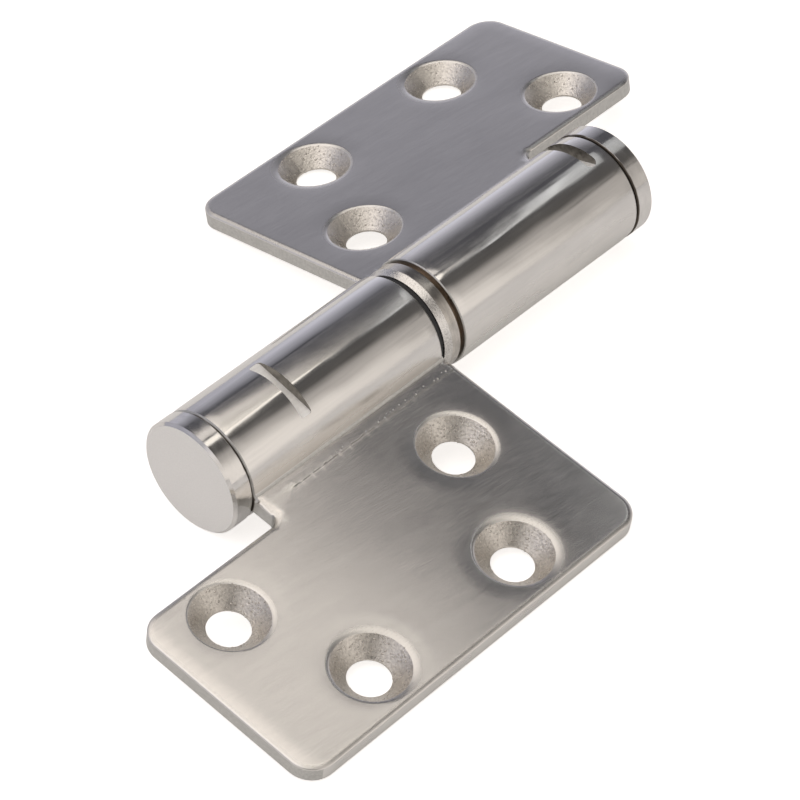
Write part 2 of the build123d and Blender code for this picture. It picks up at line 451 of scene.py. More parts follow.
def inside(points, loop):
    """Which points lie inside a closed loop, by counting crossings."""
    ends = np.roll(loop, -1, axis=0)
    x, y = points[:, :1], points[:, 1:]
    spans = (loop[:, 1] > y) != (ends[:, 1] > y)
    rise = np.where(ends[:, 1] == loop[:, 1], 1.0, ends[:, 1] - loop[:, 1])
    crossing = loop[:, 0] + (y - loop[:, 1]) * (ends[:, 0] - loop[:, 0]) / rise
    return (spans & (x < crossing)).sum(1) % 2 == 1


def ring(loop, offset, outwards):
    """A loop's points moved square to it, into the loop or out of it."""
    run = np.roll(loop, -1, axis=0) - loop
    left = np.stack([-run[:, 1], run[:, 0]], 1) / np.linalg.norm(run, axis=1, keepdims=True)
    corner = left + np.roll(left, 1, axis=0)
    corner /= np.linalg.norm(corner, axis=1, keepdims=True)
    area = (loop[:, 0] * np.roll(loop[:, 1], -1) - loop[:, 1] * np.roll(loop[:, 0], -1)).sum()
    return loop + corner * offset * (1 if (area > 0) != outwards else -1)


def field(low, high, pitch):
    """Staggered rows of points over a rectangle."""
    rows = np.arange(low[1], high[1], pitch * sin(radians(60)))
    columns = np.arange(low[0], high[0], pitch)
    return np.array([(x + (row % 2) * pitch / 2, y) for row, y in enumerate(rows) for x in columns])


# %% [markdown]
# What a finisher does by feel is written down here once, as one rule: how high the face lies
# at each place. A Displace modifier with a painted map could do this too, but a rule in
# millimetres is exact at any density, and the same rule also gives the normals and says where
# the belt's finish has been tumbled away. Quarter rounds, lips and waves are simply added.

# %% The skin's rule
def fade(value, low=0.0, high=1.0):
    """From 0 below the low value to 1 above the high one, without a kink."""
    held = np.clip((value - low) / (high - low), 0, 1)
    return held * held * (3 - 2 * held)


class SkinRule:
    """The height of the skin over any place on a leaf, in millimetres."""

    def __init__(self, face_height, outline, hole_loops, axes):
        lowered = outline[:, 2] < face_height - edge_drop
        on_rim = lowered & np.roll(lowered, -1)
        self.rim = outline[on_rim, :2], np.roll(outline, -1, axis=0)[on_rim, :2]
        self.face_height = face_height
        self.rim_depth = face_height - outline[:, 2].min()
        self.lip_depth = face_height - hole_loops[0][:, 2].mean()
        self.holes = [np.array(hole) for hole in axes.holes]
        self.radius = np.linalg.norm(hole_loops[0][:, :2] - self.holes[0], axis=1).mean()
        self.corner = np.array(corner_place)

    def height(self, points):
        from_corner = np.linalg.norm(points - self.corner, axis=1)
        rounding = rim_round + corner_round * fade(1 - from_corner / corner_spread)
        edge = distance_to(points, *self.rim)
        near_rim = np.clip(1 - edge / rounding, 0, 1)
        roll = roll_depth * fade(points[:, 1], roll_start, roll_full)
        height = self.face_height - roll * np.clip(1 - edge / roll_width, 0, 1) ** roll_power
        height -= (self.rim_depth - roll) * (1 - np.sqrt(1 - near_rim ** 2))
        clear = edge
        inland = np.clip(edge / rim_round, 0, 1)
        for hole, width in zip(self.holes, lip_widths):
            beyond = np.linalg.norm(points - hole, axis=1) - self.radius
            lip = np.clip(1 - beyond / self.lip_width(points, hole, width), 0, 1)
            height -= inland * (self.lip_depth - sag_depth) * lip ** lip_steepness
            height -= inland * sag_depth * np.clip(1 - beyond / sag_width, 0, 1) ** 2
            clear = np.minimum(clear, beyond)
        slope = land_edge * (1 + land_softening * fade(points[:, 1], *land_fade))
        height += land_rise * fade((land_reach - points[:, 0]) / slope + 0.5)
        steps = wave_length, wave_length * wave_stretch
        waves = [noise.noise(Vector((x / steps[0], y / steps[1], 0.0))) for x, y in points]
        return height + wave_height * fade(clear / wave_border) * np.array(waves)

    def lip_width(self, points, hole, widest):
        """Lips are widest on the side of the hole that faces the other leaf."""
        arm = points - hole
        facing = -arm[:, 1] / np.linalg.norm(arm, axis=1)
        return widest * (lip_narrow + (1 - lip_narrow) * fade(facing, *lip_facing))

    def worn(self, points):
        """How much of the belt's finish is tumbled away: all of it on lips and rounded rims."""
        near = np.clip(1 - distance_to(points, *self.rim) / rim_round, 0, 1)
        for hole, width in zip(self.holes, lip_widths):
            beyond = np.linalg.norm(points - hole, axis=1) - self.radius
            share = beyond / self.lip_width(points, hole, width)
            near = np.maximum(near, np.clip(worn_beyond - share, 0, 1))
        return fade(near * 2)

    def normals(self, points, axes):
        """Which way the skin looks at each place, from how its height changes nearby."""
        step = 0.02
        across, along = np.array((step, 0)), np.array((0, step))
        slope_x = (self.height(points + across) - self.height(points - across)) / (2 * step)
        slope_y = (self.height(points + along) - self.height(points - along)) / (2 * step)
        slopes = zip(slope_x, slope_y)
        return [(axes.up - axes.reach * x - axes.along * y).normalized() for x, y in slopes]


print("a quarter of the way up, fade gives", fade(0.25), "and half way", fade(0.5))

# %% [markdown]
# Where the rule bends quickly, the skin needs many points: along the rim, round each lip and
# along the edge of the raised land. On the flat a few are enough. A Remesh modifier would lay
# points evenly and round off the very edges that matter, so the places are chosen here, and
# any two that fall nearly together are thinned to one.

# %% Laying the skin
def spaced(points, gap):
    """The points, leaving out each one that lies too near to an earlier one."""
    grid, kept = {}, []
    for index, (x, y) in enumerate(points):
        cell = int(x // gap), int(y // gap)
        around = [(cell[0] + i, cell[1] + j) for i in (-1, 0, 1) for j in (-1, 0, 1)]
        near = [grid[place] for place in around if place in grid]
        if all((x - a) ** 2 + (y - b) ** 2 > gap * gap for a, b in near):
            grid[cell] = (x, y)
            kept.append(index)
    return points[kept]


def skin_points(flat, hole_loops, rule):
    """The places where the skin gets a point, apart from the open edges' own points."""
    every = flat, np.roll(flat, -1, axis=0)
    rings = [ring(flat, step * rim_round, False) for step in ring_steps]
    lips = np.concatenate([
        ring(loop, step * width, True)
        for loop, width in zip(hole_loops, lip_widths) for step in lip_steps
    ])
    rings.append(lips[distance_to(lips, *every) > ring_margin])
    run = np.arange(flat[:, 1].min(), flat[:, 1].max(), land_pitch)
    edge_lines = [
        np.stack([np.full_like(run, land_reach + shift * land_edge), run], 1)
        for shift in (-0.5, 0.0, 0.5)
    ]
    between = field(flat.min(0), flat.max(0), skin_pitch)
    between = between[distance_to(between, *every) > ring_margin]
    for hole, width in zip(rule.holes, lip_widths):
        between = between[np.linalg.norm(between - hole, axis=1) > rule.radius + width]
    free = spaced(np.concatenate(rings + edge_lines + [between]), closest)
    from_rim = distance_to(free, *every) > ring_steps[0] * rim_round * rim_gap
    free = free[inside(free, flat) & from_rim]
    for hole in rule.holes:
        free = free[np.linalg.norm(free - hole, axis=1) > rule.radius * hole_gap]
    return free


def lay_skin(solid, axes, face_height):
    """Close the opened face with a skin that follows the rule, and write its normals."""
    loops = sorted(boundary_loops(solid), key=len, reverse=True)
    places = [np.array([axes.place(vert.co) for vert in loop]) for loop in loops]
    extent = [np.ptp(place[:, :2], axis=0).max() for place in places]
    outer = extent.index(max(extent))
    outline, outer_loop = places.pop(outer), loops.pop(outer)
    centres = [place[:, :2].mean(0) for place in places]
    order = [
        min(range(len(places)), key=lambda i: np.linalg.norm(centres[i] - np.array(hole)))
        for hole in axes.holes
    ]
    hole_loops = [places[i][:, :2] for i in order]
    rule = SkinRule(face_height, outline, [places[i] for i in order], axes)

    flat = outline[:, :2]
    free = skin_points(flat, hole_loops, rule)
    verts = list(outer_loop) + [vert for i in order for vert in loops[i]]
    edges, first = [], 0
    for loop in [flat] + hole_loops:
        count = len(loop)
        edges += [(first + i, first + (i + 1) % count) for i in range(count)]
        first += count
    verts += [solid.verts.new(axes.point(x, y, z)) for (x, y), z in zip(free, rule.height(free))]
    everywhere = np.concatenate([flat] + hole_loops + [free])
    points = [Vector(point) for point in everywhere]
    looks = rule.normals(everywhere, axes)
    layer = solid.verts.layers.float["worn"]
    for vert, worn in zip(verts, rule.worn(everywhere)):
        vert[layer] = worn

    _, _, triangles, origin, _, _ = delaunay_2d_cdt(points, edges, [], 1, 1e-6)
    corners = np.array([points[source[0]] for source in origin])
    middles = np.array([corners[list(triangle)].mean(0) for triangle in triangles])
    kept = inside(middles, flat)
    for loop in hole_loops:
        kept &= ~inside(middles, loop)
    skin = []
    for triangle, keep in zip(triangles, kept):
        if keep:
            face = solid.faces.new([verts[origin[corner][0]] for corner in triangle])
            face.normal_update()
            if face.normal.dot(axes.up) < 0:
                face.normal_flip()
            skin.append(face)
    print("laid", len(skin), "triangles of skin over", len(free), "new points")
    return skin, dict(zip(verts, looks))


# %% [markdown]
# Light on metal shows normals more than shape. The old faces keep the exact normals they
# were packed with. The skin gets the exact normals of its own rule, and along the rim it
# takes the wall's normal, so that the rounding runs on into the wall without a line.

# %% Soft normals
wall_slope = 0.2            # a wall's normal leans no further towards the leaf's up than this
rim_level = 0.9             # the rim's open edge lies no further than this from the pin's level


def soften_skin(solid, axes, skin, looks):
    """Write a normal at every corner of the skin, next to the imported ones."""
    layer = solid.loops.layers.float_vector["kept_normal"]
    skin = set(skin)
    for vert in {vert for face in skin for vert in face.verts}:
        walls = [
            Vector(loop[layer]) for loop in vert.link_loops
            if loop.face not in skin and abs(loop.face.normal.dot(axes.up)) < wall_slope
            and abs(axes.place(vert.co).z) < rim_level
        ]
        normal = sum(walls, Vector()).normalized() if walls else looks[vert]
        for loop in vert.link_loops:
            if loop.face in skin:
                loop[layer] = normal
    print("wrote the normals of", len(skin), "faces of skin")


# %% [markdown]
# The polishing wheel takes a little more off the ends of a knuckle than off its middle, so
# each end rolls away over its last three millimetres, and the long highlight bends there. A
# Bevel modifier makes an arc of a circle, while this roll starts slowly and quickens. The
# packed knuckle has only long straight facets. They are cut across near each end, and the
# new points move in towards the pin by a rule, with their normals tilted to match.

# %% Rolled ends
knuckle_radius = 9.15
knuckle_ends = ((2.1, 1), (42.0, -1))   # place along the pin, and the way inwards
end_roll, end_reach = 0.13, 3.0         # how deep an end rolls in, and over what length
end_power = 2.2
end_cuts = (0.12, 0.28, 0.5, 0.78, 1.12, 1.55, 2.1)
knuckle_margin = 0.05


def knuckle_faces(solid, axes):
    """The faces whose corners all lie on the knuckle's round side."""
    def on_knuckle(vert):
        place = axes.place(vert.co)
        return abs((place.x ** 2 + place.z ** 2) ** 0.5 - knuckle_radius) < knuckle_margin
    return [face for face in solid.faces if all(on_knuckle(vert) for vert in face.verts)]


def roll_ends(solid, axes):
    """Cut the knuckle's facets across near its ends and bend them in towards the pin."""
    layer = solid.loops.layers.float_vector["kept_normal"]
    moved = 0
    for place, inwards in knuckle_ends:
        for cut in end_cuts:
            geometry = set()
            for face in knuckle_faces(solid, axes):
                geometry |= {face, *face.edges, *face.verts}
            bmesh.ops.bisect_plane(
                solid, geom=list(geometry), dist=1e-6,
                plane_co=axes.point(0, place + inwards * cut, 0), plane_no=axes.along,
            )
        round_faces = set(knuckle_faces(solid, axes))
        for vert in {vert for face in round_faces for vert in face.verts}:
            here = axes.place(vert.co)
            share = 1 - (here.y - place) * inwards / end_reach
            if 0 < share <= 1.01:
                arm = (axes.reach * here.x + axes.up * here.z).normalized()
                steepness = end_power * end_roll / end_reach * share ** (end_power - 1)
                tilt = axes.along * (-inwards * steepness)
                vert.co -= arm * (end_roll * share ** end_power * MM)
                for loop in vert.link_loops:
                    if loop.face in round_faces:
                        loop[layer] = (arm + tilt).normalized()
                moved += 1
    print("rolled the knuckle's ends,", moved, "points moved")


# %% [markdown]
# A finisher does not treat a casting all over alike. The faces are ground on a belt that runs
# along the pin, the knuckle is polished round, the countersinks stay as the shot blast left
# them, and the rim and the fillets stay as cast. The walls of the slot for the key are milled,
# and painted dark as the shade inside the slot. So a face is sorted into one of five finishes
# by where it lies and which way it looks.

# %% Sorting the faces
zones = ("brushed_face", "polished_knuckle", "blasted_countersink", "cast_rim", "milled_slot_in_shade")
flat_from, round_from, wall_from = 0.98, 0.94, 0.9   # how close a normal comes to up, out, along
countersink_radius = 6.2
knuckle_skin = 0.35         # the knuckle's round side is no deeper than this
slot_reach = 1.4            # how far a slot's walls lie from the middle of its key, along the pin


def zone_of(face, axes, skin):
    """The number of the finish that a face gets."""
    if face in skin or abs(face.normal.dot(axes.up)) > flat_from:
        return zones.index("brushed_face")
    place = axes.place(face.calc_center_median())
    near_hole = min(((place.x - x) ** 2 + (place.y - y) ** 2) ** 0.5 for x, y in axes.holes)
    if near_hole < countersink_radius:
        return zones.index("blasted_countersink")
    outwards = axes.reach * place.x + axes.up * place.z
    rounded = face.normal.dot(outwards.normalized()) > round_from
    if outwards.length > knuckle_radius - knuckle_skin and rounded:
        return zones.index("polished_knuckle")
    slot_wall = abs(face.normal.dot(axes.along)) > wall_from
    if abs(place.y - axes.key_place) < slot_reach and slot_wall:
        return zones.index("milled_slot_in_shade")
    return zones.index("cast_rim")


print("finishes of a leaf:", ", ".join(zones))

# %% [markdown]
# Now the two castings are made, by the steps above in their order. Both leaves are the same
# casting, one of them turned half round, so one function makes both from a leaf's own axes.
# The result is a plain mesh in its real place. It rides on its leaf's body and stands for the
# packed leaf, so that only one of the two is seen.

# %% Dressed leaves
def dress_leaf(side):
    """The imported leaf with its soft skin, as a piece that stands for it."""
    axes = leaf_axes[side]
    solid = leaf_copy(f"{side}_leaf")
    face_height, open_edges = open_face(solid, axes)
    divide_long(solid, open_edges, edge_pitch)
    skin, looks = lay_skin(solid, axes, face_height)
    soften_skin(solid, axes, skin, looks)
    roll_ends(solid, axes)
    skin = set(skin)
    for face in solid.faces:
        face.material_index = zone_of(face, axes, skin)
        face.smooth = True
    mesh = bpy.data.meshes.new(f"{side}_leaf_casting")
    solid.to_mesh(mesh)
    solid.free()
    kept = mesh.attributes["kept_normal"]
    normals = np.zeros(len(mesh.loops) * 3, np.float32)
    kept.data.foreach_get("vector", normals)
    mesh.attributes.remove(kept)
    mesh.normals_split_custom_set(normals.reshape(-1, 3))
    piece = bpy.data.objects.new(f"{side}_leaf_casting", mesh)
    bpy.context.scene.collection.objects.link(piece)
    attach(piece, f"{side}_leaf")
    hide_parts(f"{side}_leaf")
    print(piece.name, "has", len(mesh.polygons), "faces,", len(skin), "of them skin")
    return piece


leaves = {side: dress_leaf(side) for side in ("lower", "upper")}

# %% [markdown]
# Every steel finish here starts from the same cast stainless steel, a touch warmer than
# grey, and differs in how rough it is and what marks it carries. Scratches could come from a
# picture, but a picture needs a map and blurs up close. These marks are noise in Object
# coordinates, counted in millimetres. Stretching a noise along Y turns specks into the
# streaks of a belt that ran along the pin.

# %% Marks
steel_colour = (0.72, 0.70, 0.675)
# a dark colour painted into the joints of knuckles and heads as their shade, and its roughness
joint_shade_colour, joint_shade_roughness = (0.10, 0.085, 0.070, 1.0), 0.6
joint_shade_limits = (9.3, 9.5)   # no painted joint shade lies further than this from the pin's middle
seam_place = 42.0           # of the joint between a knuckle and its head, along the pin
seam_width, seam_fade = 0.07, 0.20
pin_height = 9.15
usual = (0.3, 0.7)          # nearly all of a noise lies between these values


def millimetres(tree):
    """Object coordinates in millimetres."""
    place = add(tree, "ShaderNodeTexCoord").outputs["Object"]
    return add(tree, "ShaderNodeVectorMath", {0: place, "Scale": 1 / MM}, operation="SCALE").outputs[0]


def marks(tree, place, across, along, shift=0.0, detail=2.0, rough=0.5):
    """Noise from 0 to 1 whose specks are so many millimetres across and along the pin."""
    squeezed = add(tree, "ShaderNodeMapping", {
        "Vector": place, "Location": (shift, 0, 0), "Scale": (1 / across, 1 / along, 1 / across),
    }).outputs[0]
    return add(tree, "ShaderNodeTexNoise", {
        "Vector": squeezed, "Scale": 1.0, "Detail": detail, "Roughness": rough,
    }).outputs["Fac"]


def shade(tree, colour, value, low, high):
    """A colour made darker where a noise is low, and lighter where it is high."""
    factor = spread(tree, value, *usual, low, high)
    return add(tree, "ShaderNodeVectorMath", {0: colour, "Scale": factor}, operation="SCALE").outputs[0]


def blend(tree, share, first, second):
    """A number between two others, by a share."""
    return add(tree, "ShaderNodeMix", {0: share, 2: first, 3: second}).outputs[0]


def blend_colour(tree, share, first, second):
    """A colour between two others, by a share."""
    return add(tree, "ShaderNodeMix", {0: share, 6: first, 7: second}, data_type="RGBA").outputs[2]


def hazed(tree, rough, haze):
    """A roughness that grows where a slow noise is high."""
    return maths(tree, "ADD", rough, spread(tree, haze, 0.35, 0.75, 0.0, 0.08))


def relief(tree, height, depth, normal=None):
    """A bump whose height runs over so many millimetres."""
    inputs = {"Height": height, "Distance": depth * MM, "Strength": 1.0}
    if normal is not None:
        inputs["Normal"] = normal
    return add(tree, "ShaderNodeBump", inputs).outputs[0]


def seam_shade(tree, place):
    """How much painted shade lies at each place: all of it in the joints of the knuckles and heads."""
    split = add(tree, "ShaderNodeSeparateXYZ", {0: place})
    across, along, up = (split.outputs[axis] for axis in "XYZ")
    past_seam = maths(tree, "SUBTRACT", maths(tree, "ABSOLUTE", along), seam_place)
    ragged = maths(tree, "MULTIPLY_ADD", marks(tree, place, 1.6, 0.5, shift=1.0), 0.30, -0.13)
    away = maths(tree, "SUBTRACT", maths(tree, "ABSOLUTE", past_seam), ragged)
    near_seam = spread(tree, away, seam_width, seam_width + seam_fade, 1.0, 0.0, smooth=True)
    rise = maths(tree, "SUBTRACT", up, pin_height)
    squares = maths(tree, "MULTIPLY_ADD", across, across, maths(tree, "MULTIPLY", rise, rise))
    in_reach = spread(tree, maths(tree, "SQRT", squares), *joint_shade_limits, 1.0, 0.0)
    return maths(tree, "MULTIPLY", near_seam, in_reach)


def with_joint_shade(tree, colour, rough, shade_share):
    """A colour and a roughness with the painted shade of the joints laid over them."""
    # the shade of the joints is painted in here as a dark colour
    colour = blend_colour(tree, shade_share, colour, joint_shade_colour)
    return colour, blend(tree, shade_share, rough, joint_shade_roughness)


def metal(name, make):
    """A material whose function gives colour, roughness, normal and any more inputs."""
    material, tree, output = new_material(name)
    inputs = make(tree, millimetres(tree))
    shader = add(tree, "ShaderNodeBsdfPrincipled", {"Metallic": 1.0, **inputs})
    tree.links.new(shader.outputs[0], output.inputs["Surface"])
    print("finish", material.name, "has", len(tree.nodes), "nodes")
    return material


leaf_metals = {}
print("marks are counted in millimetres,", round(1 / MM), "to the metre")

# %% [markdown]
# The leaf's faces are belt ground. The belt's scratches spread a reflection to the sides and
# keep it narrow along the belt. Cutting the scratches as a bump alone would sparkle without
# end, while a shader's anisotropy spreads the reflection once it knows the belt's direction.
# Fine streaks change how dark and how rough the steel is, because that is how scratches are
# seen from a step away. Where the skin says that a lip or a rim is worn, the steel is
# rougher.

# %% Brushed steel
brush_angle = 7.0           # the belt ran a little askew of the pin
brushed_colour = (0.75, 0.725, 0.69)
worn_roughness = 0.10       # what wear adds


def brushed_steel(tree, place):
    """Ground by a belt along the pin: streaks, and a reflection spread across them."""
    turned = add(tree, "ShaderNodeMapping", {
        "Vector": place, "Rotation": (0, 0, radians(brush_angle)),
    }).outputs[0]
    fine = marks(tree, turned, 0.11, 3.2)
    sparse = marks(tree, turned, 0.16, 3.0, shift=11.0, detail=1.0)
    broad = marks(tree, turned, 1.3, 14.0, shift=7.0)
    cloud = marks(tree, place, 8.0, 10.0, shift=3.0, detail=1.0)
    scratch = spread(tree, sparse, 0.66, 0.76)
    colour = shade(tree, brushed_colour, fine, 0.95, 1.04)
    colour = shade(tree, colour, broad, 0.98, 1.02)
    colour = shade(tree, colour, cloud, 0.97, 1.02)
    by_streak = spread(tree, fine, *usual, 0.165, 0.21)
    rough = maths(tree, "ADD", by_streak, spread(tree, cloud, *usual, -0.01, 0.02))
    worn = add(tree, "ShaderNodeAttribute", attribute_name="worn").outputs["Fac"]
    rough = maths(tree, "MULTIPLY_ADD", worn, worn_roughness, rough)
    height = maths(tree, "MULTIPLY_ADD", scratch, -2.0, fine)
    across = add(tree, "ShaderNodeVectorTransform", {
        "Vector": (1.0, 0.0, 0.0),
    }, vector_type="VECTOR", convert_from="OBJECT", convert_to="WORLD").outputs[0]
    return {
        "Base Color": colour, "Roughness": rough, "Anisotropic": 0.8, "Tangent": across,
        "Normal": relief(tree, height, 0.0007),
    }


leaf_metals["brushed_face"] = metal("brushed_face", brushed_steel)

# %% [markdown]
# The knuckles were polished by hand on a wheel, along the pin, so a straight highlight wavers
# and swells. Long soft waves in the surface do that; short ones would look hammered. Faint
# marks across the streaks are left from turning, and the joint with the head is painted dark
# as its shade. Down by the leaf the wheel could not reach, so there the knuckle stays duller.

# %% Polished steel
wheel_reach = (0.5, 6.5)    # the polish grows between these heights over the pin's middle
unpolished = 0.18           # what the lack of polish adds to the roughness


def polished_steel(tree, place):
    """Polished along the pin on a wheel, over the lines left from turning."""
    streak = marks(tree, place, 0.45, 12.0, shift=2.0, detail=3.0)
    haze = marks(tree, place, 3.0, 9.0, shift=9.0)
    swell = marks(tree, place, 5.0, 13.0, shift=5.0, detail=1.0)
    turned = marks(tree, place, 5.0, 0.22, shift=4.0)
    colour = shade(tree, steel_colour, streak, 0.97, 1.03)
    colour = shade(tree, colour, haze, 0.95, 1.03)
    rough = hazed(tree, spread(tree, streak, *usual, 0.07, 0.11), haze)
    up = add(tree, "ShaderNodeSeparateXYZ", {0: place}).outputs["Z"]
    height = maths(tree, "SUBTRACT", up, pin_height)
    rough = maths(tree, "ADD", rough, spread(tree, height, *wheel_reach, unpolished, 0.0))
    # the joint with the head is painted dark, as its shade
    colour, rough = with_joint_shade(tree, colour, rough, seam_shade(tree, place))
    waves = relief(tree, swell, 0.085)
    lines = relief(tree, turned, 0.0013, waves)
    return {"Base Color": colour, "Roughness": rough, "Normal": relief(tree, streak, 0.0012, lines)}


leaf_metals["polished_knuckle"] = metal("polished_knuckle", polished_steel)

# %% [markdown]
# Shot blasting leaves small dimples, so the countersinks look grainy and a little warm, and
# have no streaks at all. Real dimples would take a mesh of millions of points. A bump made
# from an even noise shades the same way at this size.

# %% Blasted steel
blasted_colour = (0.73, 0.69, 0.635)


def blasted_steel(tree, place):
    """Dimpled all over by steel shot."""
    dimple = marks(tree, place, 0.34, 0.34, detail=3.0, rough=0.7)
    patch = marks(tree, place, 2.2, 2.2, shift=6.0)
    colour = shade(tree, blasted_colour, dimple, 0.72, 1.10)
    colour = shade(tree, colour, patch, 0.93, 1.05)
    return {
        "Base Color": colour, "Roughness": spread(tree, patch, *usual, 0.24, 0.34),
        "Normal": relief(tree, dimple, 0.09),
    }


leaf_metals["blasted_countersink"] = metal("blasted_countersink", blasted_steel)

# %% [markdown]
# The slot for the key is milled. Light hardly gets in there, so its walls are painted a dark
# colour in soft patches as their shade, and no marks are needed.

# %% Milled slot, in painted shade
# a dark colour painted on the slot's walls as the shade that fills the slot
slot_shade_colour = (0.30, 0.285, 0.26)


def slot_steel_in_shade(tree, place):
    """The walls of the key's slot, painted dark in soft patches as their shade."""
    slot_shade_patches = marks(tree, place, 0.8, 0.8, shift=3.0)
    colour = shade(tree, slot_shade_colour, slot_shade_patches, 0.6, 1.3)
    return {"Base Color": colour, "Roughness": spread(tree, slot_shade_patches, *usual, 0.30, 0.45)}


leaf_metals["milled_slot_in_shade"] = metal("milled_slot_in_shade", slot_steel_in_shade)

# %% [markdown]
# What no tool has touched still shows the skin of the casting mould: fine sandy grain, and
# broad smears where the metal cooled unevenly. It is darker and duller than the ground faces.
# Two noises do it, a small one for the grain and a long one for the smears.

# %% Cast steel
cast_colour = (0.56, 0.55, 0.525)


def cast_steel(tree, place):
    """As it came from the mould, with painted shade in the joint by the head."""
    grain = marks(tree, place, 0.35, 0.45, detail=3.0)
    smear = marks(tree, place, 2.5, 9.0, shift=8.0)
    colour = shade(tree, cast_colour, grain, 0.82, 1.06)
    by_smear = spread(tree, smear, *usual, 0.26, 0.36)
    rough = maths(tree, "ADD", by_smear, spread(tree, grain, *usual, 0.0, 0.05))
    # the joint by the head is painted dark, as its shade
    colour, rough = with_joint_shade(tree, colour, rough, seam_shade(tree, place))
    waves = relief(tree, smear, 0.03)
    return {"Base Color": colour, "Roughness": rough, "Normal": relief(tree, grain, 0.006, waves)}


leaf_metals["cast_rim"] = metal("cast_rim", cast_steel)
for piece in leaves.values():
    for zone in zones:
        piece.data.materials.append(leaf_metals[zone])

# %% [markdown]
# Shot blasting also throws up tiny burrs and crumbs, which sparkle in the dark side of a
# countersink. There are thousands, so Geometry Nodes scatter them: points spread over the
# faces of one zone, with a smallest gap between them, a small flattened ball on each, turned
# to lie on its face and given a size of its own. The modifier's result is kept as a plain
# mesh, because a scattered instance would be lost on export.

# %% Geometry Nodes helpers
ball_stretch = (0.8, 1.6)   # how long a ball is, as a share of its width
print("balls are", ball_stretch[0], "to", ball_stretch[1], "times as long as they are wide")


def new_tree(name, sockets):
    """A geometry tree with named inputs, given as names, kinds and first values."""
    tree = bpy.data.node_groups.new(name, "GeometryNodeTree")
    tree.interface.new_socket("Geometry", in_out="INPUT", socket_type="NodeSocketGeometry")
    tree.interface.new_socket("Geometry", in_out="OUTPUT", socket_type="NodeSocketGeometry")
    for label, kind, value in sockets:
        socket = tree.interface.new_socket(label, in_out="INPUT", socket_type=f"NodeSocket{kind}")
        if value is not None:
            socket.default_value = value
    return tree, tree.nodes.new("NodeGroupInput").outputs, tree.nodes.new("NodeGroupOutput")


def random_between(tree, low, high, seed):
    """A number of its own for each point, always the same one for the same seed."""
    return add(tree, "FunctionNodeRandomValue", {
        2: low, 3: high, "Seed": seed,
    }, data_type="FLOAT").outputs[1]


def balls_on(tree, points, rotation, given, seed):
    """A flattened ball of its own size on each point, as real geometry with its finish."""
    ball = add(tree, "GeometryNodeMeshIcoSphere", {"Radius": 1.0, "Subdivisions": 1}).outputs["Mesh"]
    size = random_between(tree, given["Smallest"], given["Largest"], seed)
    stretch = random_between(tree, *ball_stretch, maths(tree, "ADD", seed, 1))
    length = maths(tree, "MULTIPLY", size, stretch)
    height = maths(tree, "MULTIPLY", size, given["Flatness"])
    scale = add(tree, "ShaderNodeCombineXYZ", {"X": length, "Y": size, "Z": height}).outputs[0]
    placed = add(tree, "GeometryNodeInstanceOnPoints", {
        "Points": points, "Instance": ball, "Rotation": rotation, "Scale": scale,
    }).outputs["Instances"]
    spin = add(tree, "ShaderNodeCombineXYZ", {
        "Z": random_between(tree, 0.0, 2 * pi, maths(tree, "ADD", seed, 2)),
    }).outputs[0]
    placed = add(tree, "GeometryNodeRotateInstances", {"Instances": placed, "Rotation": spin}).outputs[0]
    real = add(tree, "GeometryNodeRealizeInstances", {"Geometry": placed}).outputs[0]
    real = add(tree, "GeometryNodeSetShadeSmooth", {"Geometry": real}).outputs[0]
    return add(tree, "GeometryNodeSetMaterial", {
        "Geometry": real, "Material": given["Finish"],
    }).outputs[0]


def plain_result(name, mesh, tree, values):
    """Run a tree on a mesh, with its inputs given by name, and keep the result as a mesh."""
    source = bpy.data.objects.new(name + "_source", mesh)
    bpy.context.scene.collection.objects.link(source)
    modifier = source.modifiers.new(name, "NODES")
    modifier.node_group = tree
    sockets = [item for item in tree.interface.items_tree if item.in_out == "INPUT"]
    identifiers = {item.name: item.identifier for item in sockets}
    for label, value in values.items():
        modifier[identifiers[label]] = value
    graph = bpy.context.evaluated_depsgraph_get()
    result = bpy.data.meshes.new_from_object(source.evaluated_get(graph), depsgraph=graph)
    result.name = name
    source.modifiers.remove(modifier)
    bpy.data.objects.remove(source)
    piece = bpy.data.objects.new(name, result)
    bpy.context.scene.collection.objects.link(piece)
    print(name, "has", len(result.polygons), "faces")
    return piece


# %% [markdown]
# The crumbs' tree picks its faces by the number of their finish, so it finds the countersinks
# by itself. Poisson spreading keeps a gap between neighbours, as grains that were tumbled
# would lie. The lower leaf carries more crumbs than the upper one, so the gap is an input.

# %% Crumbs in the countersinks
crumb_gaps = {"lower": 0.40 * MM, "upper": 0.80 * MM}


def build_crumb_tree():
    """Small flat balls, spread over the faces of one finish."""
    tree, given, output = new_tree("blasted_crumbs", [
        ("Zone", "Int", 0), ("Gap", "Float", 0.4 * MM), ("Per square metre", "Float", 5e6),
        ("Smallest", "Float", 0.08 * MM), ("Largest", "Float", 0.2 * MM), ("Flatness", "Float", 0.5),
        ("Seed", "Int", 1), ("Finish", "Material", None),
    ])
    zone = add(tree, "GeometryNodeInputMaterialIndex").outputs[0]
    chosen = add(tree, "FunctionNodeCompare", {
        2: zone, 3: given["Zone"],
    }, data_type="INT", operation="EQUAL").outputs[0]
    spread_out = add(tree, "GeometryNodeDistributePointsOnFaces", {
        "Mesh": given["Geometry"], "Selection": chosen, "Distance Min": given["Gap"],
        "Density Max": given["Per square metre"], "Seed": given["Seed"],
    }, distribute_method="POISSON").outputs
    balls = balls_on(tree, spread_out["Points"], spread_out["Rotation"], given, given["Seed"])
    tree.links.new(balls, output.inputs["Geometry"])
    return tree


